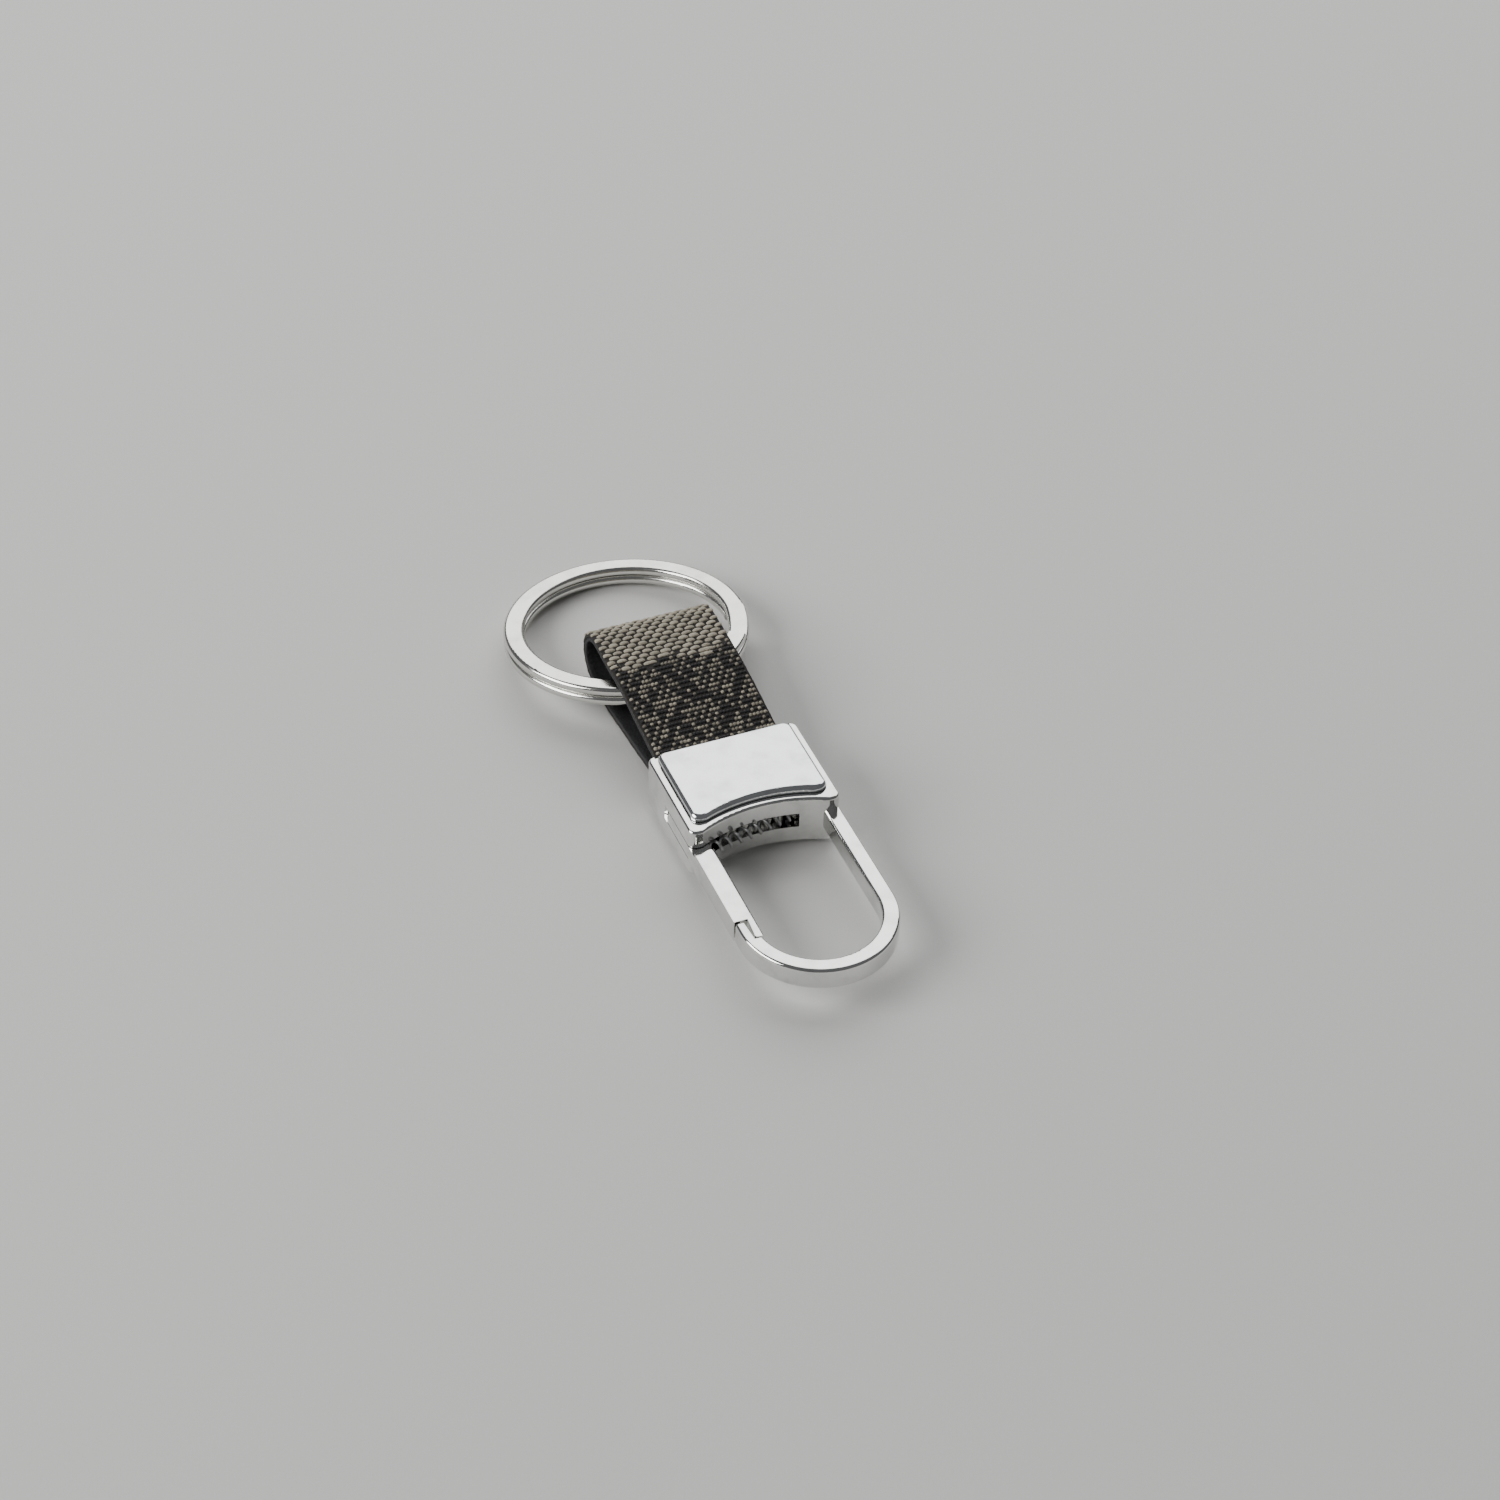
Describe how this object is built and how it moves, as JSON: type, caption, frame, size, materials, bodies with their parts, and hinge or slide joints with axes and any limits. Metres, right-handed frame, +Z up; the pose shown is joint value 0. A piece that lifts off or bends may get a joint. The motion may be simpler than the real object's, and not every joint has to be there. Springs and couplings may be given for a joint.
{
  "type": "key organiser",
  "caption": "Key organiser: polished cast hook with an inward spring gate, folded canvas strap riveted into its body, and a split ring held in the strap's fold",
  "frame": {"origin": "centre of the clip's back face, on the surface the clip lies on", "axes": "+Z up, +Y along the strap towards the split ring, +X across the clip, away from the gate"},
  "size_m": [0.0322, 0.0859, 0.0089],
  "materials": {
    "polished_casting": "polished plated zinc casting",
    "cover_plate": "polished plate with faint scuffs",
    "pin_steel": "plain turned steel",
    "spring_steel": "dark spring wire",
    "canvas": "coarse woven canvas with a printed pattern",
    "lining": "matt black lining",
    "stiffener": "moulded",
    "ring_steel": "nickel plated spring steel"
  },
  "bodies": {
    "clip": {"hook_frame": "polished_casting", "front_cover": "cover_plate", "back_cover": "cover_plate", "gate_pivot_pin": "pin_steel", "gate_spring": "spring_steel", "strap_insert": "stiffener", "strap_rivet_left": "pin_steel", "strap_rivet_right": "pin_steel"},
    "gate": {"gate": "polished_casting"},
    "strap": {"strap_canvas": "canvas", "strap_lining": "lining"},
    "ring": {"split_ring": "ring_steel"}
  },
  "joints": [
    {"name": "gate_hinge", "type": "hinge", "parent": "clip", "child": "gate", "pos_m": [-0.0085, -0.0005, 0.00445], "axis": [0, 0, 1], "range_deg": [0, 28], "stiffness_Nm_per_rad": 0.004, "springref_deg": -20.05, "deforming": ["gate_spring"]},
    {"name": "strap_flex", "type": "hinge", "parent": "clip", "child": "strap", "pos_m": [0, 0.0075, 0.00445], "axis": [1, 0, 0], "range_deg": [-40, 40], "stiffness_Nm_per_rad": 0.05, "deforming": ["strap_canvas", "strap_lining"]},
    {"name": "ring_swing", "type": "hinge", "parent": "strap", "child": "ring", "pos_m": [-0.0016, 0.02315, 0.00536], "axis": [1, 0, 0], "range_deg": [-75, 60], "deforming": ["strap_canvas", "strap_lining"]}
  ]
}
